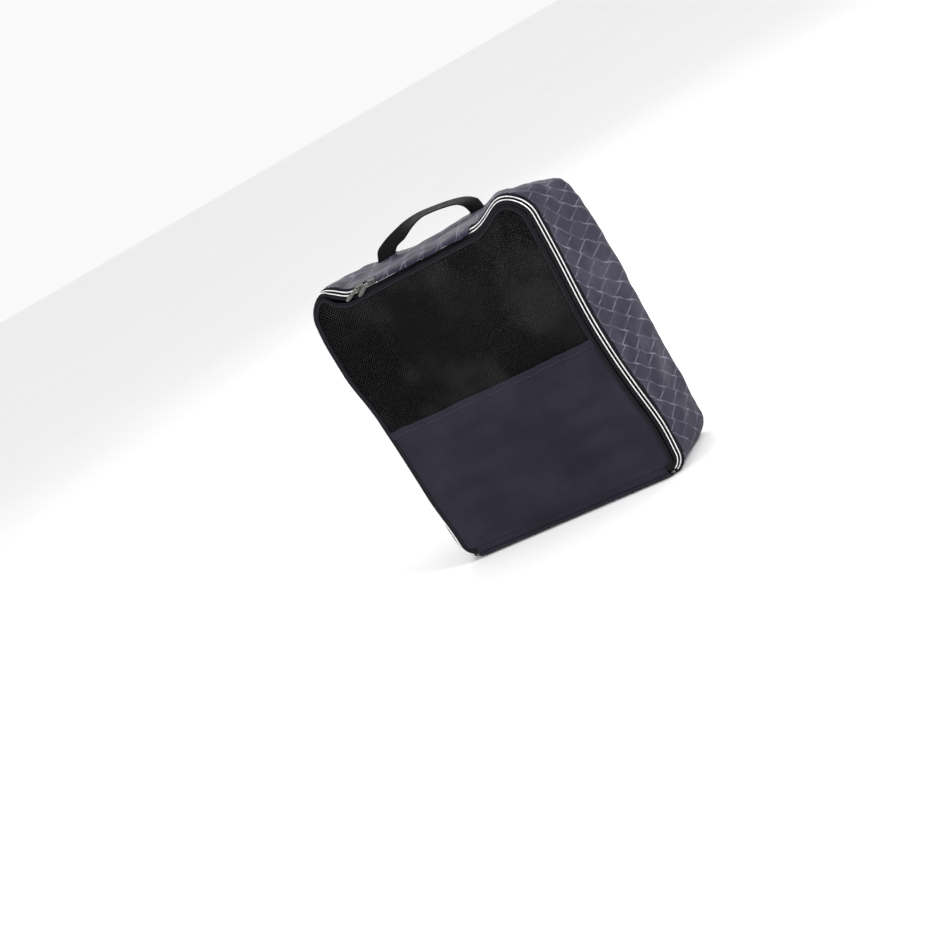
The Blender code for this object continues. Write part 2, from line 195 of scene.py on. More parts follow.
def soften(points):
    """Common slump and bulge of the filled cloth, applied to every sewn piece alike."""
    p = np.array(points, float)
    x, y, z = p[..., 0], p[..., 1], p[..., 2]
    # shares of the front, the rear, the two sides and the top
    front = 1 - smooth((y - FRONT) / 0.05)
    rear = smooth(y / 0.055)
    right, left = smooth((x - 0.06) / 0.07), smooth((-x - 0.06) / 0.07)
    crest = smooth((z - 0.270) / 0.065)
    # the right side is drawn in at mid height, and the left one leans out above
    dx = right * (-0.0058 * bell(z, 0.185, 0.085) + 0.0024 * bell(z, 0.055, 0.035)) * (1 - 0.75 * rear)
    dx -= left * spread(z, LEFT_SIDE) * (1 - 0.4 * rear)
    dx -= left * 0.004 * bell(z, 0.06, 0.05) * rear
    # at the left the flap's edge is pushed outward, so that the zip turns to the side
    ring_x, ring_z = np.minimum(x + 0.118, 0.0), np.maximum(z - 0.321, 0.0)
    ring = np.maximum(np.hypot(ring_x, ring_z), 1e-6)
    push = 0.0060 * smooth(ring / 0.020) * smooth((-0.048 - y) / 0.009) * smooth((z - 0.03) / 0.06)
    push = push * smooth((-0.112 - x) / 0.014) * (1 - 0.25 * smooth((0.26 - z) / 0.05))
    dx += push * ring_x / ring
    # the front corners rise, and the rear edge sinks
    dz = crest * front * (0.0045 * bell(x, 0.115, 0.022) + 0.0022 * bell(x, -0.116, 0.018))
    dz += crest * smooth((y + 0.050) / 0.108) ** 1.2 * spread(x, REAR_TOP)
    dz += push * ring_z / ring
    # the back and the flap bulge over what the bag holds
    bulge = np.sin(np.pi * np.clip(z / TOP, 0, 1)) ** 0.7
    fill = 0.0105 * bulge * (1 - right) + right * spread(z, REAR_SIDE) * REAR_SHARE
    dy = rear * (fill + 0.0012 * bulge * np.sin(z * 31.0 + x * 9.0))
    dy -= front * 0.0022 * (1 - (x / HALF) ** 2) * bulge
    dy += 0.25 * push
    # small uneven waves, but none along the zip's straight top
    zip_top = front * smooth((z - 0.30) / 0.03) * smooth((0.100 - np.abs(x)) / 0.02)
    stir = 0.0009 * smooth((z - 0.01) / 0.05) * (1 - zip_top)
    dx += stir * noise(x / 0.07, y / 0.07, z / 0.07, 3)
    dy += stir * noise(x / 0.08, y / 0.08, z / 0.08, 5)
    p[..., 0] += dx
    p[..., 1] += dy
    p[..., 2] = np.maximum(z + dz, FLOOR_GAP)
    return p


def crown(x, z, height):
    """Bulge of a CAD panel, full in its middle and nothing at its edges."""
    middle = TOP / 2
    return height * np.clip(1 - (x / HALF) ** 2, 0, 1) * np.clip(1 - ((z - middle) / middle) ** 2, 0, 1)


def chain(across, out):
    """(normal, y) of a point given across the zip, flap side positive, and outward."""
    return -CHAIN_INSET - DIAGONAL * across + DIAGONAL * out, CHAIN_Y - DIAGONAL * across - DIAGONAL * out


def place(run, n, y):
    """Points at normal offset n and depth y along an outline, whose stations come first."""
    x = run["x"][:, None] + run["nx"][:, None] * n
    z = run["z"][:, None] + run["nz"][:, None] * n
    return np.stack([x, np.broadcast_to(y, x.shape), z], -1)


# -------------------- shader values
class Value:
    """A node socket that can be used in arithmetic."""

    def __init__(self, tree, socket):
        self.tree, self.socket = tree, socket

    def math(self, operation, *others):
        node = self.tree.nodes.new("ShaderNodeMath")
        node.operation = operation
        for slot, item in zip(node.inputs, (self, *others)):
            if isinstance(item, Value):
                self.tree.links.new(item.socket, slot)
            else:
                slot.default_value = float(item)
        return Value(self.tree, node.outputs[0])

    def __add__(self, other):
        return self.math("ADD", other)

    def __sub__(self, other):
        return self.math("SUBTRACT", other)

    def __mul__(self, other):
        return self.math("MULTIPLY", other)

    def fract(self):
        return self.math("FRACT")

    def floor(self):
        return self.math("FLOOR")

    def sin(self):
        return self.math("SINE")

    def beat(self):
        """Distance from the middle of the value's whole-number cell, 0 to 0.5."""
        return (self.fract() - 0.5).math("ABSOLUTE")

    def limit(self):
        """The value kept between 0 and 1."""
        return self.math("MINIMUM", 1.0).math("MAXIMUM", 0.0)

    def ramp(self, low, high, start=0.0, end=1.0):
        """Smooth step from start to end as the value goes from low to high."""
        node = self.tree.nodes.new("ShaderNodeMapRange")
        node.interpolation_type = "SMOOTHSTEP"
        self.tree.links.new(self.socket, node.inputs["Value"])
        for key, item in (("From Min", low), ("From Max", high), ("To Min", start), ("To Max", end)):
            node.inputs[key].default_value = item
        return Value(self.tree, node.outputs["Result"])


class Look:
    """A material being built. Its textures follow the cloth's or the object's coordinates, in metres."""

    def __init__(self, name, roughness, on_cloth=True, sheen=0.0, metallic=0.0, specular=0.5):
        self.material = bpy.data.materials.new(name)
        self.material.use_nodes = True
        self.tree = self.material.node_tree
        self.shader = self.tree.nodes["Principled BSDF"]
        settings = {
            "Roughness": roughness, "Metallic": metallic, "Specular IOR Level": specular,
            "Sheen Weight": sheen, "Sheen Roughness": 0.4,
        }
        for key, item in settings.items():
            self.shader.inputs[key].default_value = item
        if on_cloth:
            source = self.node("UVMap")
            source.uv_map = "cloth"
            self.vector = source.outputs["UV"]
        else:
            self.vector = self.node("TexCoord").outputs["Object"]
        split = self.node("SeparateXYZ")
        self.tree.links.new(self.vector, split.inputs[0])
        self.u, self.v, _ = [Value(self.tree, socket) for socket in split.outputs]

    def node(self, kind, **settings):
        """A new node with some of its inputs set."""
        node = self.tree.nodes.new("ShaderNode" + kind)
        for key, item in settings.items():
            node.inputs[key].default_value = item
        return node

    def noise(self, scale, detail=3.0, roughness=0.5):
        """Value of a noise texture."""
        node = self.node("TexNoise", Scale=scale, Detail=detail, Roughness=roughness)
        self.tree.links.new(self.vector, node.inputs["Vector"])
        return Value(self.tree, node.outputs["Fac"])

    def paint(self, amount, base, line, rough=None):
        """Colour from base to line by an amount, and roughness."""
        node = self.node("Mix")
        node.data_type = "RGBA"
        self.tree.links.new(amount.socket, node.inputs["Factor"])
        node.inputs[6].default_value = (*base, 1.0)
        node.inputs[7].default_value = (*line, 1.0)
        self.tree.links.new(node.outputs[2], self.shader.inputs["Base Color"])
        if rough is not None:
            self.tree.links.new(rough.socket, self.shader.inputs["Roughness"])

    def bump(self, height, strength, distance):
        """Relief of the surface from a height value."""
        node = self.node("Bump", Strength=strength, Distance=distance)
        self.tree.links.new(height.socket, node.inputs["Height"])
        self.tree.links.new(node.outputs["Normal"], self.shader.inputs["Normal"])


def weave(u, v, pitch):
    """Plain weave height from two crossing sets of threads."""
    a = (u * (2 * math.pi / pitch)).sin()
    b = (v * (2 * math.pi / pitch)).sin()
    return a * b


def jacquard(name, base, line, strength):
    """Navy cloth with thin lighter lines in staggered parallelograms."""
    look = Look(name, 0.55, sheen=0.02, specular=0.10)
    u, v = look.u, look.v
    warp = look.noise(30.0, 1.0) - 0.5
    u1, v1 = u + warp * 0.0040, v + warp * -0.0030
    # the two sets of lines, with their numbers per metre along and up the cloth
    p = u1 * 41.0 + v1 * -31.6
    q = u1 * 41.0 + v1 * 15.6
    q = q + (p.fract() - 0.5) * 0.20
    p = p + (q * (2 * math.pi)).sin() * 0.030
    near_q = q.beat()
    near_p = p.beat()
    line_q = near_q.ramp(0.452, 0.486)
    line_p = near_p.ramp(0.452, 0.486)
    # the lines are the cloth's own pattern; their random fading in and out along their length is painted
    # sheen
    painted_sheen_q = look.noise(48.0, 2.0).ramp(0.42, 0.66, 0.20, 1.0)
    painted_sheen_p = look.noise(63.0, 2.0).ramp(0.40, 0.64, 0.24, 1.0)
    lines = (line_q * painted_sheen_q).math("MAXIMUM", line_p * painted_sheen_p) * strength
    halo = near_q.ramp(0.36, 0.49).math("MAXIMUM", near_p.ramp(0.36, 0.49)) * (0.08 * strength)
    parity = ((p.floor() + q.floor()) * 0.5).fract() * 2.0
    satin = (parity - 0.5) * (0.05 * strength)
    mottled = look.noise(16.0, 4.0).ramp(0.3, 0.7, -0.10, 0.10)
    thread = weave(u, v, 0.0011)
    amount = (lines + halo + satin + mottled + thread * 0.03).limit()
    rough = look.noise(24.0, 3.0).ramp(0.3, 0.7, 0.48, 0.64) - lines * 0.12
    look.paint(amount, base, line, rough)
    crease = look.noise(90.0, 4.0) * 1.2
    look.bump(thread * 0.16 + lines * 0.25 + crease, 0.35, 0.0006)
    return look.material


def plain_cloth(name, base, line, grid):
    """Navy cloth with a faint fine grid of thicker threads."""
    look = Look(name, 0.60, sheen=0.03, specular=0.12)
    u, v = look.u, look.v
    a = (u * (1 / grid)).beat().ramp(0.44, 0.49)
    b = (v * (1 / grid)).beat().ramp(0.44, 0.49)
    lines = a.math("MAXIMUM", b)
    mottled = look.noise(14.0, 4.0).ramp(0.3, 0.7, 0.0, 0.30)
    thread = weave(u, v, 0.0011)
    slub = look.noise(420.0, 2.0).ramp(0.35, 0.75, 0.0, 0.14)
    amount = (lines * 0.26 + mottled + slub + thread * 0.04).limit()
    rough = look.noise(24.0, 3.0).ramp(0.3, 0.7, 0.52, 0.68)
    look.paint(amount, base, line, rough)
    crease = look.noise(80.0, 4.0) * 1.2
    look.bump(thread * 0.16 + lines * 0.2 + crease, 0.35, 0.0006)
    return look.material


def lining(name, base, line):
    """Coated inner side of the cloth: dark film with soft mottling."""
    look = Look(name, 0.42, on_cloth=False, specular=0.4)
    mottled = look.noise(60.0, 5.0).ramp(0.3, 0.7)
    grain = look.noise(900.0, 2.0)
    look.paint(mottled, base, line, mottled * 0.15 + 0.38)
    look.bump(grain + mottled * 2.0, 0.3, 0.0004)
    return look.material


def tape_material(name, base, line, pitch, ribs):
    """Woven tape: ribs across the width and fine threads along it."""
    look = Look(name, 0.75, sheen=0.02, specular=0.10)
    u, v = look.u, look.v
    rib = (u * (1 / pitch)).beat() * 2.0
    thread = (v * (1 / ribs)).beat() * 2.0
    wear = look.noise(120.0, 4.0).ramp(0.35, 0.7)
    fuzz = look.noise(1500.0, 2.0).ramp(0.4, 0.7)
    amount = rib * 0.18 + thread * 0.22 + wear * 0.22 + fuzz * 0.2
    look.paint(amount, base, line, wear * 0.14 + 0.66)
    look.bump(rib + thread * 0.8, 0.7, 0.0003)
    return look.material


def net_material(name, base, line, pitch):
    """Fine knitted net: staggered round holes between threads, with painted highlights on the knots."""
    look = Look(name, 0.55, specular=0.07)
    u, v = look.u, look.v
    row = v * (1 / (pitch * 0.54))
    shift = (row.floor() * 0.5).fract()
    a = (u * (1 / pitch) + shift).fract() - 0.5
    b = row.fract() - 0.5
    distance = (a * a + b * b * 0.30).math("SQRT")
    hole = distance.ramp(0.23, 0.29, 1.0, 0.0)
    knot = distance.ramp(0.34, 0.54)
    glint = look.noise(14.0, 2.0).ramp(0.42, 0.70, 0.10, 1.0)
    # light dots on the knots are painted highlights, stronger in patches by the glint noise
    painted_knot_highlight = knot * glint
    thread = look.noise(2600.0, 1.0)
    look.paint(painted_knot_highlight, base, line, thread * 0.2 + 0.42)
    alpha = (hole * -1.0) + 1.0
    look.tree.links.new(alpha.socket, look.shader.inputs["Alpha"])
    look.bump(knot + thread * 0.2, 0.6, 0.0004)
    return look.material


def metal_material(name, base, line, low, high):
    """Cast or plated metal with fine scratches and dull patches."""
    look = Look(name, 0.3, on_cloth=False, metallic=1.0)
    patch = look.noise(350.0, 4.0).ramp(0.35, 0.7)
    scratch = look.noise(2400.0, 6.0, 0.7)
    rough = patch * (high - low) + scratch * 0.08 + low
    look.paint(patch, base, line, rough)
    look.bump(scratch + patch, 0.25, 0.00015)
    return look.material


def thread_material(name, base, line):
    """Twisted sewing thread."""
    look = Look(name, 0.55, on_cloth=False, sheen=0.3)
    twist = look.noise(1800.0, 2.0)
    look.paint(twist.ramp(0.35, 0.7), base, line, twist * 0.2 + 0.45)
    look.bump(twist, 0.5, 0.0002)
    return look.material


NAVY = jacquard("navy_jacquard", (0.0200, 0.0182, 0.0340), (0.135, 0.128, 0.170), 0.88)
# base about half the jacquard's: partly the plain cloth's own tone, partly painted shade of the front and
# bottom
NAVY_PLAIN_SHADED = plain_cloth("navy_plain_shaded", (0.0095, 0.0088, 0.0165), (0.030, 0.028, 0.045), 0.0034)
COATING = lining("coating", (0.010, 0.010, 0.014), (0.020, 0.020, 0.026))
# the net's line colour is the painted highlight on its knots
NET = net_material("net", (0.0024, 0.0024, 0.0026), (0.060, 0.057, 0.054), 0.0032)
TAPE = tape_material("tape", (0.0030, 0.0030, 0.0036), (0.016, 0.016, 0.020), 0.0008, 0.0006)
BINDING = tape_material("binding", (0.0036, 0.0035, 0.0056), (0.012, 0.0115, 0.018), 0.0010, 0.0007)
WEBBING = tape_material("webbing", (0.0022, 0.0021, 0.0021), (0.014, 0.0125, 0.012), 0.0016, 0.0011)
SILVER = metal_material("silver_coil", (0.86, 0.86, 0.86), (0.66, 0.66, 0.67), 0.30, 0.45)
GUNMETAL = metal_material("gunmetal", (0.215, 0.205, 0.195), (0.125, 0.120, 0.115), 0.24, 0.42)
THREAD_DARK = thread_material("thread_dark", (0.010, 0.010, 0.016), (0.026, 0.026, 0.038))
THREAD_NAVY = thread_material("thread_navy", (0.020, 0.019, 0.034), (0.050, 0.048, 0.074))


# -------------------- mesh making
def add_object(name, data):
    """New object in the scene."""
    item = bpy.data.objects.new(name, data)
    bpy.context.scene.collection.objects.link(item)
    return item


def make_object(name, verts, faces, materials, uv=None, angle=40.0):
    """Smooth-shaded mesh object, with its cloth coordinates where it has them."""
    mesh = bpy.data.meshes.new(name)
    mesh.from_pydata([tuple(v) for v in np.asarray(verts, float)], [], [tuple(f) for f in faces])
    if uv is not None:
        layer = mesh.uv_layers.new(name="cloth")
        index = np.zeros(len(mesh.loops), np.int32)
        mesh.loops.foreach_get("vertex_index", index)
        layer.data.foreach_set("uv", np.asarray(uv, np.float32)[index].ravel())
    for material in materials:
        mesh.materials.append(material)
    mesh.shade_smooth()
    mesh.set_sharp_from_angle(angle=math.radians(angle))
    return add_object(name, mesh)


def belong(item, body, slot, *stands_for):
    """Put a piece on its CAD body, in place of the nodes that it stands for."""
    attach(item, body)
    if stands_for:
        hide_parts(*stands_for)


def grid_faces(rows, columns, wrap=False):
    """Quads over a grid of points, closed round its columns if wrapped."""
    i, j = np.meshgrid(np.arange(rows - 1), np.arange(columns if wrap else columns - 1), indexing="ij")
    k = (j + 1) % columns
    faces = np.stack([i * columns + j, i * columns + k, (i + 1) * columns + k, (i + 1) * columns + j], -1)
    return faces.reshape(-1, 4)


def full_turn(count):
    """Equal angles round a full turn."""
    return [2 * math.pi * k / count for k in range(count)]


def skin(rings):
    """Closed (verts, faces) over a stack of rings of equal length."""
    rings = np.asarray(rings, float)
    count, around = rings.shape[:2]
    faces = [tuple(f) for f in grid_faces(count, around, wrap=True)]
    faces.append(tuple(range(around))[::-1])
    faces.append(tuple(range((count - 1) * around, count * around)))
    return rings.reshape(-1, 3), faces


def cloth(name, points, uv, thickness, materials, flip=False):
    """Sheet of cloth on a grid of points: solid, with its outer side on the points."""
    faces = grid_faces(*points.shape[:2])
    if flip:
        faces = faces[:, ::-1]
    item = make_object(name, points.reshape(-1, 3), faces, materials, uv.reshape(-1, 2))
    solid = item.modifiers.new("thickness", "SOLIDIFY")
    solid.thickness = thickness
    solid.offset = -1.0
    solid.use_even_offset = False
    if len(materials) > 1:
        solid.material_offset = 1
        solid.material_offset_rim = 0
    return item


def cloth_uv(u, v):
    """Coordinates along and across a cloth, in metres, for each of its points."""
    return np.stack(np.broadcast_arrays(u, v), -1)


def gather(name, parts, materials):
    """One object from many small closed pieces given as (verts, faces)."""
    verts, faces, start = [], [], 0
    for part_verts, part_faces in parts:
        verts.append(part_verts)
        faces.extend([tuple(int(i) + start for i in face) for face in part_faces])
        start += len(part_verts)
    return make_object(name, np.concatenate(verts), faces, materials, angle=60.0)


def surface_normals(points, flip=False):
    """Unit normals of a grid of points."""
    normals = np.cross(np.gradient(points, axis=0), np.gradient(points, axis=1))
    normals /= np.maximum(np.linalg.norm(normals, axis=-1, keepdims=True), 1e-12)
    return -normals if flip else normals


def distances(path):
    """Distance of each point of a path from the first one."""
    return np.concatenate([[0], np.cumsum(np.linalg.norm(np.diff(path, axis=0), axis=1))])


def sample(path, distance, at):
    """Value of a path of vectors at one distance along it."""
    return np.array([np.interp(at, distance, path[:, k]) for k in range(3)])


def stitch(middle, along, normal, length, thick, lift):
    """One stitch: a short fat thread whose ends sink into the cloth."""
    count, around = 5, 6
    side = np.cross(along, normal)
    rings = []
    for j in range(count):
        share = j / (count - 1) * 2 - 1
        fat = thick / 2 * math.sqrt(max(1 - abs(share) ** 2.6, 0.06))
        sink = -0.45 * thick * share * share
        ring = []
        for angle in full_turn(around):
            rise = math.sin(angle) * fat + lift + sink
            ring.append(middle + along * share * length / 2 + side * math.cos(angle) * fat + normal * rise)
        rings.append(ring)
    return skin(rings)


def stitch_row(path, up, pitch, length, thick, lift=0.0002):
    """Stitches along a path with one surface normal or one per point, as a list of (verts, faces)."""
    distance = distances(path)
    up = np.broadcast_to(up, path.shape)
    near = 0.0004
    parts = []
    for i in range(int(distance[-1] / pitch)):
        at = pitch * (i + 0.5)
        along = sample(path, distance, at + near) - sample(path, distance, at - near)
        along = along / max(np.linalg.norm(along), 1e-9)
        normal = sample(up, distance, at)
        normal = normal - along * (normal @ along)
        normal /= max(np.linalg.norm(normal), 1e-9)
        parts.append(stitch(sample(path, distance, at), along, normal, length, thick, lift))
    return parts


def profile_points(segments, count, dense=()):
    """Resample a chain of (n, y) points: n, y and distance, closer together near each dense place."""
    points = np.array(segments, float)
    distance = distances(points)
    fine = np.linspace(0, distance[-1], 600)
    weight = np.ones(600)
    for centre, width, extra in dense:
        weight += extra * bell(fine, centre, width)
    total = np.concatenate([[0], np.cumsum((weight[1:] + weight[:-1]) / 2)])
    total = total / total[-1]
    w = np.interp(np.linspace(0, 1, count), total, fine)
    return np.interp(w, distance, points[:, 0]), np.interp(w, distance, points[:, 1]), w


# -------------------- gusset
# Below, n is the distance out from the outline, y the depth, s the distance along the
# outline and w the distance across the cloth from its edge beside the zip.
RUN = outline(0.0018)


def rear_corner():
    """(n, y) points of the rounded corner from the gusset or the base to the back."""
    turns = np.radians(np.linspace(0, 100, 16))
    n = -BACK_RADIUS + BACK_RADIUS * np.cos(turns)
    y = BACK - BACK_RADIUS + BACK_RADIUS * np.sin(turns)
    return list(zip(n, y))


def sag(x, z, s, y, w):
    """Outward lift of the gusset's cloth: slack, cross folds, lean of the sides and tension lines."""
    side = smooth((TOP - 0.045 - z) / 0.04)
    slack = 0.0013 * fbm(s, y, 0.0, 0.045, 3, 31) * smooth(w / 0.02)
    folds = 0.0011 * bell(y, -0.01, 0.035) * (1 - side) * noise(s / 0.013, y / 0.08, 0.3, 41)
    lean = 0.0010 * side * noise((s + 0.6 * y) / 0.03, y / 0.06, 0.1, 43)
    crown_out = 0.0016 * np.sin(np.pi * smooth((y + 0.048) / 0.106)) * side
    tension = noise((s - 0.45 * y) / 0.0085, (y + 0.45 * s) / 0.060, 0.7, 47)
    corners = smooth((z - 0.20) / 0.12) * smooth((np.abs(x) - 0.07) / 0.04)
    tension = 0.0009 * tension * smooth(w / 0.012) * corners
    ripple = noise((s + 0.25 * y) / 0.016, y / 0.035, 0.2, 49) * 0.0006 * side * smooth(w / 0.01)
    handle_root = (bell(x, -0.083, 0.020) + bell(x, 0.047, 0.018)) * bell(y, 0.046, 0.018) * (z > TOP_ZONE)
    return (slack + folds + lean + crown_out + tension + ripple) * (1 - 0.9 * np.clip(handle_root, 0, 1))


def make_gusset():
    """One strip from the bottom left, over the top, to the bottom right."""
    tucked_edge = [chain(-0.0060, -0.0012), chain(-0.0057, 0.0002), chain(-0.0063, 0.0010)]
    segments = tucked_edge + [(0.0002, -0.0460), (0.0, -0.040)] + rear_corner()
    n, y, w = [a[None] for a in profile_points(segments, 84, ((0.004, 0.005, 1.6), (0.1045, 0.004, 2.6)))]
    x, z, s = [RUN[key][:, None] for key in ("x", "z", "s")]
    top = z > TOP_ZONE
    # puckers beside the zip's seam, and the ridge of the seam to the back panel
    beside_zip = bell(y, -0.047, 0.011) * smooth((w - 0.001) / 0.003)
    pucker = 0.0008 * beside_zip * (noise(s / 0.0075, 0.5, 0.5, 21) + 0.6 * noise(s / 0.0036, 0.5, 0.5, 22))
    seam = 0.0010 * bell(w, 0.1040, 0.0010) - 0.0007 * bell(w, 0.1062, 0.0014)
    seam = seam * (1 + 0.35 * noise(s / 0.007, 0.2, 0.9, 23))
    # crease at the foot of the right hump, and the edge that runs in under the fold over the zip
    crease = -0.0016 * bell(x, 0.0715, 0.0022) * top * smooth((0.01 - y) / 0.04)
    under_fold = smooth((x + 0.058) / 0.004) * smooth((0.074 - x) / 0.004) * top
    tuck = -0.0018 * under_fold * smooth((0.0125 - w) / 0.006)
    lift = sag(x, z, s, y, w) + pucker * (1 - under_fold) + crease + seam + tuck
    scallop = 0.0011 * noise(s / 0.017, 0.1, 0.1, 24) + 0.0005 * noise(s / 0.006, 0.1, 0.1, 25)
    scallop = (scallop + 0.0005) * bell(w, 0.0, 0.006)
    points = place(RUN, n + lift, y + scallop)
    # past the crease the front edge of the gusset lies over its half of the zip
    cover = bell(x, 0.094, 0.017) * top * bell(w, 0.0, 0.004)
    points[..., 1] -= 0.0032 * cover
    points[..., 2] -= 0.0014 * cover
    item = cloth("gusset_cloth", soften(points), cloth_uv(s, w), CLOTH_THICK, [NAVY, COATING], flip=True)
    belong(item, "bag_body", "cloth", "gusset_left", "gusset_top", "gusset_right")


# -------------------- panels
def corner_height(x, inset):
    """Height of the inset outline's lower edge at x."""
    over = np.maximum(np.abs(x) - (HALF - BOTTOM_RADIUS), 0.0)
    return BOTTOM_RADIUS - np.sqrt(np.maximum((BOTTOM_RADIUS - inset) ** 2 - over**2, 0.0))


def upper_border(inset, x):
    """Height of the inset outline's upper edge at x."""
    keep = (RUN["z"] > TOP - TOP_RADIUS - 1e-4) & (RUN["nz"] > -0.02)
    border_x = (RUN["x"] - RUN["nx"] * inset)[keep]
    border_z = (RUN["z"] - RUN["nz"] * inset)[keep]
    return np.interp(x, border_x, border_z)


def panel_grid(inset, bottom, columns, rows):
    """x and z of a grid that fills the inset outline above the height bottom(x)."""
    x = np.linspace(inset - HALF, HALF - inset, columns)
    low, high = bottom(x)[:, None], upper_border(inset, x)[:, None]
    z = low + (high - low) * np.linspace(0, 1, rows)[None]
    return np.broadcast_to(x[:, None], z.shape), z


def make_back():
    """Back panel, bulged by what the bag holds, with its edge drawn in to the seam."""
    inset = BACK_RADIUS + 0.0004
    x, z = panel_grid(inset, lambda at: corner_height(at, inset), 150, 160)
    sides = np.minimum(HALF - BACK_RADIUS - np.abs(x), z - BACK_RADIUS)
    gap = np.minimum(sides, upper_border(BACK_RADIUS, x) - z)
    y = BACK - 0.0008 * (1 - smooth(gap / 0.002)) + crown(x, z, 0.0030) * smooth(gap / 0.03)
    y = y + 0.0014 * smooth(gap / 0.012) * fbm(x, 0.0, z, 0.07, 4, 51)
    points = soften(np.stack([x, y, z], -1))
    item = cloth("back_cloth", points, cloth_uv(x + 0.5, z), CLOTH_THICK, [NAVY, COATING])
    belong(item, "bag_body", "cloth", "back_panel")


def make_bottom():
    """Bottom panel, from the front lip to the rounded corner at the back."""
    front_lip = [(-0.0050, -0.0590), (-0.0020, -0.0562), (-0.0002, -0.0520), (0.0, -0.0480)]
    n, y, w = [a[None] for a in profile_points(front_lip + rear_corner(), 70)]
    reach = HALF - BOTTOM_RADIUS
    x = np.linspace(-reach, reach, 140)[:, None]
    lifted = 0.0012 * (1 + noise(x / 0.05, y / 0.05, 0.0, 61)) * smooth((y + 0.05) / 0.03)
    lifted = lifted * smooth((0.05 - y) / 0.03) * smooth((HALF - 0.03 - np.abs(x)) / 0.03)
    points = soften(np.stack(np.broadcast_arrays(x, y, lifted - n), -1))
    item = cloth("bottom_cloth", points, cloth_uv(x + 0.2, w), CLOTH_THICK, [NAVY_PLAIN_SHADED, COATING])
    belong(item, "bag_body", "cloth_dark", "bottom_panel")


# -------------------- flap
def flap_surface(x, z, gap, wave):
    """Depth of the flap's outer face before the common slump."""
    return FRONT - crown(x, z, FLAP_CROWN) + wave * smooth(gap / 0.02)


def make_flap_net():
    """Net of the flap's upper half, slack inside its binding."""
    inset = 0.0142
    x, z = panel_grid(inset, lambda at: np.full_like(at, SEAM_Z - 0.004), 150, 110)
    gap = np.minimum(HALF - inset - np.abs(x), upper_border(inset, x) - z)
    pulls = 0.0006 * noise(x / 0.012, 0.0, z / 0.05, 72) * bell(gap, 0.0, 0.02)
    wave = 0.0016 * fbm(x, 0.2, z, 0.075, 3, 71) + pulls
    points = soften(np.stack([x, flap_surface(x, z, gap, wave) + 0.0006, z], -1))
    item = cloth("flap_net_cloth", points, cloth_uv(x + 0.5, z), 0.0004, [NET], flip=True)
    belong(item, "flap", "net", "flap_net")


def make_flap_cloth():
    """Lower half of the flap with its turned hem, then the hem's stitches."""
    inset = 0.0136
    columns = np.linspace(inset - HALF, HALF - inset, 170)
    low = np.where(np.abs(columns) > HALF - BOTTOM_RADIUS, corner_height(columns, inset), 0.0)
    low = np.maximum(low, FOLD_Z + 0.006)[:, None]
    hem_wave = 0.0011 * noise(columns / 0.030, 0.0, 0.0, 81) + 0.0006 * noise(columns / 0.011, 0.0, 0.0, 82)
    high = (SEAM_Z + 0.0035 + hem_wave)[:, None]
    z = low + (high - low) * np.linspace(0, 1, 120)[None]
    x = np.broadcast_to(columns[:, None], z.shape)
    gap = HALF - inset - np.abs(x)
    # soft cross folds, calm near the seams
    phase = (z + 0.004 * noise(x / 0.08, 0.0, z / 0.05, 91)) * 2 * np.pi / 0.034
    ridges = np.sin(phase + 1.7 * noise(x / 0.09, 0.5, z / 0.09, 92))
    ridges = 0.0019 * ridges * (0.5 + 0.5 * noise(x / 0.07, 0.0, z / 0.06, 93))
    slack = 0.0020 * fbm(x, 0.7, z, 0.06, 3, 94)
    crumple = 0.0007 * noise((x + 0.5 * z) / 0.035, 0.2, (z - 0.25 * x) / 0.011, 95)
    calm = smooth(gap / 0.03) * smooth((SEAM_Z - z) / 0.04) * smooth((z - 0.01) / 0.02)
    hem_bulge = 0.0007 * smooth((z - (high - 0.009)) / 0.001)
    y = flap_surface(x, z, gap, calm * (ridges + slack + crumple)) - 0.0004 - hem_bulge
    points = soften(np.stack([x, y, z], -1))
    item = cloth("flap_cloth", points, cloth_uv(x + 0.5, z), 0.0009, [NAVY_PLAIN_SHADED, COATING], flip=True)
    belong(item, "flap", "cloth_dark", "flap_lower_panel", "panel_hem")

    stitched = np.argmin(np.abs(z - (high - 0.0072)), axis=1)
    inner = np.arange(3, len(columns) - 3)
    path = points[inner, stitched[inner]]
    parts = stitch_row(path, FORWARD, 0.0031, 0.0024, 0.00040)
    belong(gather("hem_stitches", parts, [THREAD_NAVY]), "flap", "cloth_dark")


def make_fold_cloth():
    """Cloth that bends round the bottom front edge, from the base to the flap."""
    reach = HALF - BOTTOM_RADIUS - 0.0005
    turn = np.linspace(0, 1, 14)
    foot, head = 0.0020, FOLD_Z + 0.0085
    x = np.linspace(-reach, reach, 130)[:, None]
    z = (foot + (head - foot) * turn)[None]
    y = (-0.0565 - 0.0031 * smooth(turn / 0.55))[None]
    y = y - crown(x, z, FLAP_CROWN) * smooth((z - 0.008) / 0.008)
    points = soften(np.stack(np.broadcast_arrays(x, y, z), -1))
    item = cloth("fold_cloth", points, cloth_uv(x + 0.5, z), 0.0010, [NAVY_PLAIN_SHADED, COATING], flip=True)
    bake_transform(item)


# -------------------- strips along the zip
def make_strip(name, n, y, w, thickness, material, body, slot, node):
    """Woven strip on a profile of n, y and width w, all round the outline; returns its points too."""
    points = place(RUN, np.atleast_2d(n), y[None])
    raised = smooth((FRONT + 0.003 - points[..., 1]) / 0.002)
    points[..., 1] -= crown(points[..., 0], points[..., 2], FLAP_CROWN) * raised
    points = soften(points)
    item = cloth(name, points, cloth_uv(RUN["s"][:, None], w[None]), thickness, [material])
    belong(item, body, slot, node)
    return points


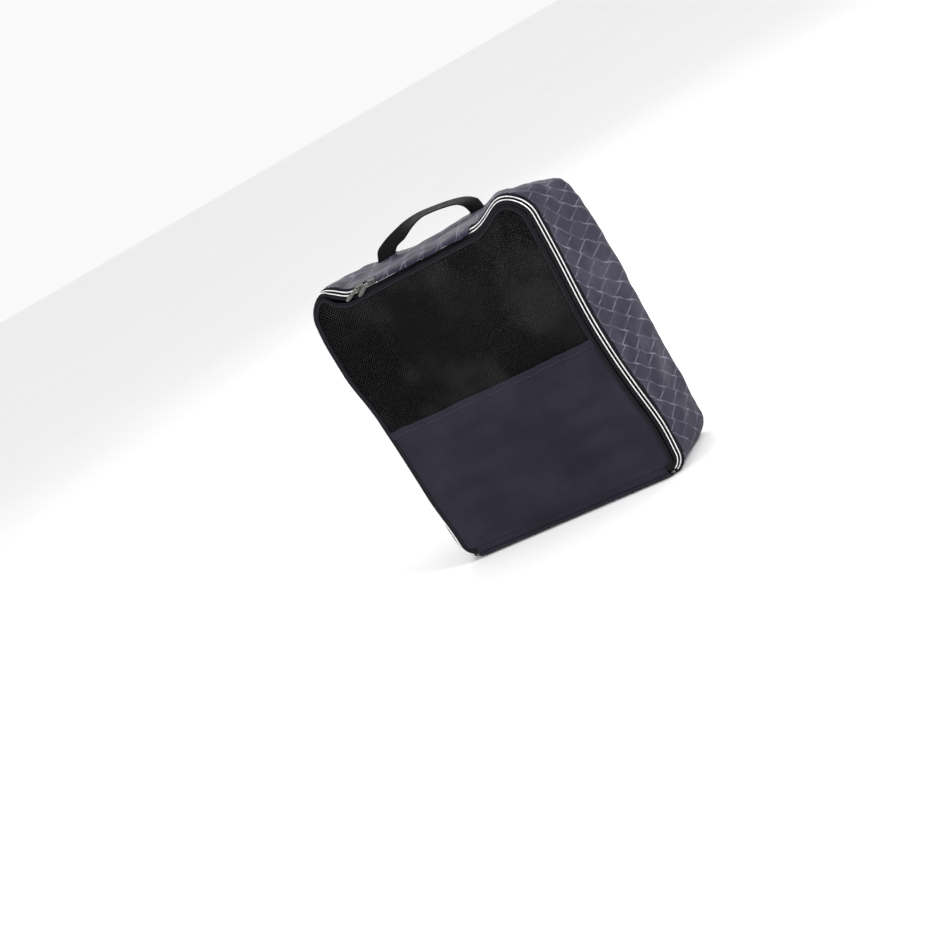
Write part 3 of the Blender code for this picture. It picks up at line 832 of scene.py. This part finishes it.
def make_zip_tapes():
    """The two halves of the zip's tape, on either side of the chain."""
    across = np.linspace(0.0004, 0.0068, 8)
    n, y = chain(-across[::-1], 0.0)
    make_strip("zip_tape_gusset", n, y, across, 0.0007, TAPE, "bag_body", "zip_tape", "zip_tape_body")
    n, y = chain(across, 0.0)
    make_strip("zip_tape_front", n, y, across, 0.0007, TAPE, "flap", "zip_tape", "zip_tape_flap")


def make_binding():
    """Tape round the flap's edge, and the row of stitches that holds it."""
    width = 0.0056
    w = np.linspace(0, width, 11)
    beside_sliders = 0.0026 * bell(RUN["x"], -0.101, 0.014) * (RUN["z"] > TOP_ZONE)
    wobble = 0.00025 * noise(RUN["s"][:, None] / 0.008, w[None] / 0.01, 0.0, 101)
    n = -0.0101 - w[None] - beside_sliders[:, None] + wobble
    y = FRONT - 0.0003 - 0.0007 * np.sin(np.pi * w / width) ** 0.5
    points = make_strip("flap_binding_tape", n, y, w, 0.0012, BINDING, "flap", "binding_tape", "flap_binding")
    path = points[6:-6, 7]
    parts = stitch_row(path, FORWARD, 0.0030, 0.0023, 0.00045)
    belong(gather("binding_stitches", parts, [THREAD_DARK]), "flap", "binding_tape")


def make_seam_tape():
    """Tape that binds the seam between gusset and back, inside the bag."""
    w = np.linspace(0, 0.0075, 6)
    y = np.linspace(0.0478, 0.0553, 6)
    n = -0.0150 - 0.0018 * np.sin(np.pi * (y - 0.0478) / 0.0075 * 0.5)
    make_strip("inner_seam_tape", n, y, w, 0.0014, BINDING, "bag_body", "binding_tape", "back_seam_binding")


def make_coil(name, side, body, node):
    """Half of the zip chain: a silver ridge with one rib per coil. Side 1 is the flap's, -1 the gusset's."""
    run = outline(0.00034)
    end = 30
    run = {key: values[end:-end] for key, values in run.items()}
    rib = 0.5 + 0.5 * np.cos(2 * np.pi * run["s"] / 0.00135)
    centre, half_width, half_height = 0.0020, 0.00085, 0.00075
    columns = []
    for angle in full_turn(8):
        across = side * (centre + half_width * math.cos(angle) * (0.9 + 0.1 * rib))
        out = 0.0008 + half_height * math.sin(angle) * (0.80 + 0.20 * rib)
        n, y = chain(across, out)
        columns.append(place(run, n[:, None], y[:, None])[:, 0])
    rings = np.stack(columns[::-side], 1)
    verts, faces = skin(soften(rings))
    belong(make_object(name, verts, faces, [SILVER], angle=60.0), body, "zip_coil", node)


# -------------------- cloth hanging over the zip
def bezier(columns, t):
    """Cubic curve over four control columns."""
    a, b, c, d = columns
    return a * (1 - t) ** 3 + 3 * b * t * (1 - t) ** 2 + 3 * c * t**2 * (1 - t) + d * t**3


def make_fold_over_zip():
    """Fold of the gusset's cloth that hangs over the zip, from the right slider to the right hump."""
    start, end = -0.0562, 0.0712
    run = outline(0.0009)
    inside = (run["z"] > TOP_ZONE) & (run["x"] > start) & (run["x"] < end)
    run = {key: values[inside] for key, values in run.items()}
    x, z, s = [run[key][:, None] for key in ("x", "z", "s")]
    hang = 0.0052 + 0.0010 * noise(s / 0.016, 0.0, 0.0, 111) + 0.0005 * noise(s / 0.006, 0.0, 0.0, 112)
    hang = hang * (0.55 + 0.45 * smooth((x - start) / 0.004))
    t = np.linspace(0, 1, 30)[None]
    over_n, over_y = chain(0.0010, 0.0070)
    hem_n, hem_y = chain(hang, 0.0046)
    n = bezier((-0.0010, 0.0016, over_n, hem_n), t)
    y = bezier((-0.0350, -0.0455, over_y, hem_y), t)
    w = 0.0135 - 0.0210 * t
    loose = sag(x, z, s, np.full_like(n, -0.040), np.maximum(w, 0.004)) * (1 - 0.6 * t)
    ripple = 0.0006 * smooth(t / 0.3) * noise(s / 0.0095, t * 1.2, 0.3, 113)
    ripple = ripple + 0.0004 * noise(s / 0.02, t, 0.3, 114)
    points = soften(place(run, n + loose + ripple, y - 0.4 * ripple))
    item = cloth("fold_over_zip", points, cloth_uv(s, w), 0.0009, [NAVY, COATING])
    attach(item, "bag_body")
    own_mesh(item)


# -------------------- sliders and pulls
PULL_AXIS = 0.0046
EYE_END = 0.0070
SLIDERS = {"left": (-0.078, math.radians(31.0)), "right": (-0.062, math.radians(39.0))}


def slider_place(centre, points):
    """Points (along the zip, across it, outward) of the slider at x = centre, in space."""
    p = np.asarray(points, float)
    n, y = chain(p[..., 1], p[..., 2])
    return np.stack([centre + p[..., 0], y, VALLEY + n], -1)


def pull_place(centre, yaw, points):
    """Points (along the pull, across it, out of its plane) in space; the pull lies turned by yaw."""
    p = np.asarray(points, float)
    u, v, out = p[:, 0], p[:, 1], p[:, 2]
    u = np.where(u > EYE_END, EYE_END + (u - EYE_END) * 1.10, u)
    turned = yaw * smooth((u - 0.0032) / 0.004)
    beyond = np.maximum(u - 0.0032, 0.0)
    along = u - beyond + beyond * np.cos(turned) - v * np.sin(turned)
    across = beyond * np.sin(turned) + v * np.cos(turned)
    return slider_place(centre, np.column_stack([-along, across, PULL_AXIS + out]))


def rounded_box(half_x, half_y, low, high, power, edge=0.0004):
    """Plump box with rounded plan and edges, as (verts, faces)."""
    angle = np.linspace(0, 2 * np.pi, 40, endpoint=False)
    c, s = np.cos(angle), np.sin(angle)
    plan_x = half_x * np.sign(c) * np.abs(c) ** (2 / power)
    plan_y = half_y * np.sign(s) * np.abs(s) ** (2 / power)
    levels = []
    for k in range(5):
        turn = math.pi / 2 * k / 4
        inset = edge * (1 - math.sin(turn))
        levels.append((1 - inset / half_x, 1 - inset / half_y, low + edge * (1 - math.cos(turn))))
    levels += [(a, b, high - (height - low)) for a, b, height in levels[::-1]]
    return skin([np.column_stack([plan_x * a, plan_y * b, np.full(40, height)]) for a, b, height in levels])


def moved(part, offset):
    """A (verts, faces) part shifted by an offset."""
    return part[0] + np.asarray(offset, float), part[1]


def arch(half_width, reach, foot, crest, thick):
    """Bridge of a slider: a bent strap from end to end, as (verts, faces)."""
    rings = []
    for turn in np.linspace(0, math.pi, 25):
        c, s = math.cos(turn), math.sin(turn)
        along = -reach * math.copysign(abs(c) ** 0.45, c)
        out = foot + (crest - foot) * abs(s) ** 0.6
        ring = []
        for angle in full_turn(10):
            depth = thick / 2 * (1 + math.sin(angle))
            ring.append((along + c * depth, half_width * math.cos(angle), out - s * depth))
        rings.append(ring)
    return skin(rings)


# half width of the pull's blade at distances along it
BLADE_LENGTHS = [0.0058, 0.0070, 0.0085, 0.0130, 0.0165, 0.0185, 0.0198, 0.0205]
BLADE_HALF_WIDTHS = [0.0022, 0.0020, 0.0021, 0.0026, 0.0028, 0.0022, 0.0013, 0.0001]


def blade_part():
    """Blade with a raised rim and a dished middle, as (verts, faces)."""
    rim, dished = 0.0007, 0.00035
    underside = [(-1.0, -0.0004), (-0.94, -0.0006), (0.94, -0.0006), (1.0, -0.0004), (1.0, 0.0004)]
    face = [(0.93, rim), (0.72, rim), (0.60, dished), (0.0, 0.00022), (-0.60, dished), (-0.72, rim)]
    rings = []
    for u in np.concatenate([np.linspace(0.0058, 0.0185, 26), np.linspace(0.0187, 0.0205, 9)]):
        half = np.interp(u, BLADE_LENGTHS, BLADE_HALF_WIDTHS)
        dish = smooth((u - 0.0088) / 0.0012) * (1 - smooth((u - 0.0168) / 0.0014))
        ring = []
        for share, out in underside + face + [(-0.93, rim), (-1.0, 0.0004)]:
            in_dish = abs(share) <= 0.7 and out > 0
            ring.append((u, share * half, rim + (out - rim) * dish if in_dish else out))
        rings.append(ring)
    return skin(rings)


def eye_part():
    """Loop of the pull that hangs on the slider's bridge, as (verts, faces)."""
    count, around = 48, 10
    rings = []
    for turn in full_turn(count):
        c, s = math.cos(turn), math.sin(turn)
        centre_u = 0.0031 + 0.0033 * math.copysign(abs(c) ** 0.55, c)
        centre_v = 0.00245 * math.copysign(abs(s) ** 0.55, s)
        for angle in full_turn(around):
            out = 0.00058 * math.cos(angle)
            rings.append((centre_u + out * c, centre_v + out * s, 0.00065 * math.sin(angle)))
    faces = grid_faces(count + 1, around, wrap=True) % (count * around)
    return np.array(rings), faces


def face_outward(item):
    """Turn every closed piece of a mesh so that its faces point out."""
    work = bmesh.new()
    work.from_mesh(item.data)
    bmesh.ops.recalc_face_normals(work, faces=work.faces)
    work.to_mesh(item.data)
    work.free()
    return item


def make_slider(side, centre, yaw):
    """Slider body and its pull."""
    plate = rounded_box(0.0055, 0.0041, 0.0023, 0.0036, 3.0)
    nose = moved(rounded_box(0.0016, 0.0011, 0.0034, 0.0043, 2.6, edge=0.0003), (0.0042, 0, 0))
    under = moved(rounded_box(0.0050, 0.00155, -0.0021, -0.0012, 3.4, edge=0.0003), (0, 0.00135, 0))
    neck = rounded_box(0.0042, 0.0003, -0.0014, 0.0030, 6.0, edge=0.0001)
    bridge = arch(0.0008, 0.0046, 0.0030, 0.0070, 0.0011)
    parts = [(slider_place(centre, verts), faces) for verts, faces in (plate, nose, under, neck, bridge)]
    slider = face_outward(gather(f"slider_{side}_metal", parts, [GUNMETAL]))
    belong(slider, f"slider_{side}", "slider_metal", f"slider_{side}_body")
    parts = [(pull_place(centre, yaw, verts), faces) for verts, faces in (blade_part(), eye_part())]
    pull = face_outward(gather(f"pull_{side}_metal", parts, [GUNMETAL]))
    belong(pull, f"pull_{side}", "slider_metal", f"slider_{side}_pull")


def make_zip_end(side, sign):
    """Metal stop at one end of the chain, beside the floor."""
    verts, faces = rounded_box(0.0026, 0.0018, -0.0006, 0.0020, 4.0, edge=0.0005)
    n, y = chain(verts[:, 1], verts[:, 2])
    from_middle, lowest = 0.13075, 0.0008
    verts = soften(np.stack([sign * from_middle + verts[:, 0], y, np.maximum(-n, lowest)], -1))
    stop = face_outward(gather(f"zip_end_{side}", [(verts, faces)], [GUNMETAL]))
    belong(stop, "bag_body", "zip_coil", f"zip_stop_{side}")


# -------------------- handle
# points of the webbing's two edges, from its left root to its right one
REAR_EDGE = [
    (-0.0945, 0.0412, 0.3412), (-0.0890, 0.0430, 0.3515), (-0.0800, 0.0450, 0.3565),
    (-0.0690, 0.0468, 0.3605), (-0.0580, 0.0485, 0.3635), (-0.0460, 0.0500, 0.3662),
    (-0.0340, 0.0510, 0.3676), (-0.0215, 0.0520, 0.3676), (-0.0080, 0.0530, 0.3662),
    (0.0060, 0.0530, 0.3642), (0.0190, 0.0530, 0.3622), (0.0300, 0.0520, 0.3600),
    (0.0390, 0.0505, 0.3572), (0.0465, 0.0480, 0.3535), (0.0520, 0.0450, 0.3495),
    (0.0550, 0.0412, 0.3412),
]
FRONT_EDGE = [
    (-0.0700, 0.0408, 0.3412), (-0.0630, 0.0405, 0.3470), (-0.0565, 0.0400, 0.3490),
    (-0.0495, 0.0385, 0.3508), (-0.0415, 0.0358, 0.3543), (-0.0325, 0.0330, 0.3583),
    (-0.0225, 0.0310, 0.3618), (-0.0125, 0.0300, 0.3642), (-0.0020, 0.0295, 0.3642),
    (0.0090, 0.0290, 0.3632), (0.0190, 0.0290, 0.3617), (0.0278, 0.0291, 0.3600),
    (0.0336, 0.0296, 0.3578), (0.0372, 0.0305, 0.3542), (0.0380, 0.0340, 0.3495),
    (0.0370, 0.0408, 0.3412),
]
HANDLE_ROOTS = {"left": -0.084, "right": 0.046}


def curve_through(points, count):
    """Catmull-Rom curve through points."""
    p = np.array(points, float)
    p = np.vstack([2 * p[0] - p[1], p, 2 * p[-1] - p[-2]])
    place_on = np.linspace(0, len(points) - 1 - 1e-9, count)
    i = place_on.astype(int)
    t = (place_on - i)[:, None]
    a, b, c, d = p[i], p[i + 1], p[i + 2], p[i + 3]
    return 0.5 * (2 * b + (c - a) * t + (2 * a - 5 * b + 4 * c - d) * t**2 + (3 * b - a - 3 * c + d) * t**3)


def make_handle():
    """Twisted loop of webbing between its two edges, slightly cupped and rippled."""
    rear, front = curve_through(REAR_EDGE, 150), curve_through(FRONT_EDGE, 150)
    along = distances((rear + front) / 2)[:, None]
    share = np.linspace(0, 1, 15)[None]
    points = rear[:, None] * (1 - share[..., None]) + front[:, None] * share[..., None]
    cup = 0.0007 * (1 - (2 * share - 1) ** 2)
    ripple = 0.0003 * noise(along / 0.02, share * 1.5, 0.0, 121)
    points = points + surface_normals(points) * (cup + ripple)[..., None]
    item = cloth("handle_strap", points, cloth_uv(along, share * 0.024), 0.0014, [WEBBING])
    item.modifiers["thickness"].offset = 0.0
    belong(item, "handle", "webbing", "handle_webbing")


def make_handle_end(side, centre):
    """End of the webbing, sewn flat to the gusset and down over the seam, and its stitches."""
    proud, reach = 0.0011, 0.012
    turns = np.radians(np.linspace(0, 88, 12))
    bend_n = -BACK_RADIUS + (BACK_RADIUS + proud) * np.cos(turns)
    bend_y = BACK - BACK_RADIUS + (BACK_RADIUS + proud) * np.sin(turns)
    n, y, w = profile_points([(proud, 0.0405), (proud, 0.0425)] + list(zip(bend_n, bend_y)), 40)
    along = np.linspace(0, w[-1], 26)
    n, y = np.interp(along, w, n)[None], np.interp(along, w, y)[None]
    keep = (RUN["z"] > TOP_ZONE) & (np.abs(RUN["x"] - centre) < reach + 0.0015)
    stations = np.linspace(centre - reach, centre + reach, 15)
    run = {key: np.interp(stations, RUN["x"][keep], values[keep]) for key, values in RUN.items()}
    points = soften(place(run, n, y))
    uv = cloth_uv(along[None], (run["s"] - run["s"][0])[:, None])
    item = cloth(f"handle_end_{side}_strap", points, uv, 0.0013, [WEBBING], flip=True)
    belong(item, "bag_body", "webbing", f"handle_end_{side}")

    # a box of stitches with a cross in it
    up = surface_normals(points)
    step = np.arange(20)
    climb = step * 10 // 19
    rows = [(2, slice(3, None)), (-3, slice(3, None)), (slice(2, -2), 4), (slice(2, -2), -3)]
    rows += [(2 + climb, 4 + step), (12 - climb, 4 + step)]
    parts = []
    for row in rows:
        parts += stitch_row(points[row], up[row], 0.0026, 0.0020, 0.00045, lift=0.00015)
    belong(gather(f"handle_tack_{side}", parts, [THREAD_DARK]), "bag_body", "webbing")


# -------------------- camera, light and floor
def add_camera():
    """Camera of the photograph, from the right, a little above, and rolled."""
    azimuth, elevation, roll = math.radians(29.60), math.radians(13.56), math.radians(-31.86)
    spot = Vector((0.99542, -1.94724, 0.61734))
    data = bpy.data.cameras.new("camera")
    data.lens = 75.8
    data.sensor_width = 36.0
    item = add_object("camera", data)
    ahead, level = math.cos(elevation), Vector((math.cos(azimuth), math.sin(azimuth), 0.0))
    forward = Vector((-math.sin(azimuth) * ahead, math.cos(azimuth) * ahead, -math.sin(elevation)))
    raised = level.cross(forward)
    right = level * math.cos(roll) + raised * math.sin(roll)
    up = raised * math.cos(roll) - level * math.sin(roll)
    rotation = Matrix((right, up, -forward)).transposed().to_4x4()
    item.matrix_world = Matrix.Translation(spot) @ rotation
    bpy.context.scene.camera = item


def add_light(name, location, target, size, power):
    """Soft round light that faces its target."""
    data = bpy.data.lights.new(name, "AREA")
    data.shape = "DISK"
    data.size = size
    data.energy = power
    item = add_object(name, data)
    location = Vector(location)
    rotation = (Vector(target) - location).to_track_quat("-Z", "Y").to_matrix().to_4x4()
    item.matrix_world = Matrix.Translation(location) @ rotation


def add_floor():
    """Plain pale floor."""
    reach = 8
    look = Look("floor", 0.7, on_cloth=False)
    look.paint(look.noise(3.0, 2.0), (0.86, 0.86, 0.86), (0.90, 0.90, 0.90))
    corners = [(-reach, -reach, 0), (reach, -reach, 0), (reach, reach, 0), (-reach, reach, 0)]
    floor = make_object("floor", corners, [(0, 1, 2, 3)], [look.material])
    floor.location.z = -0.0004


def add_sky():
    """Even white surroundings."""
    world = bpy.data.worlds.new("studio")
    bpy.context.scene.world = world
    world.use_nodes = True
    background = world.node_tree.nodes["Background"]
    background.inputs["Color"].default_value = (1.0, 1.0, 1.0, 1.0)
    background.inputs["Strength"].default_value = 0.95
    bpy.context.scene.view_settings.view_transform = "Standard"


# -------------------- the whole bag
make_gusset()
make_back()
make_bottom()
make_flap_net()
make_flap_cloth()
make_fold_cloth()
make_zip_tapes()
make_binding()
make_coil("zip_coil_gusset", -1, "bag_body", "zip_coil_body")
make_coil("zip_coil_front", 1, "flap", "zip_coil_flap")
make_fold_over_zip()
for side, (centre, yaw) in SLIDERS.items():
    make_slider(side, centre, yaw)
make_handle()
for side, centre in HANDLE_ROOTS.items():
    make_handle_end(side, centre)
make_seam_tape()
make_zip_end("left", -1)
make_zip_end("right", 1)

add_camera()
add_light("key", (1.7, -0.6, 1.5), (0, 0, 0.18), 1.0, 36)
add_light("fill", (-1.2, -1.9, 1.0), (0, 0, 0.18), 1.6, 11)
add_light("rim", (-0.6, 1.6, 1.6), (0, 0, 0.2), 1.0, 15)
add_floor()
add_sky()

bpy.context.view_layer.update()
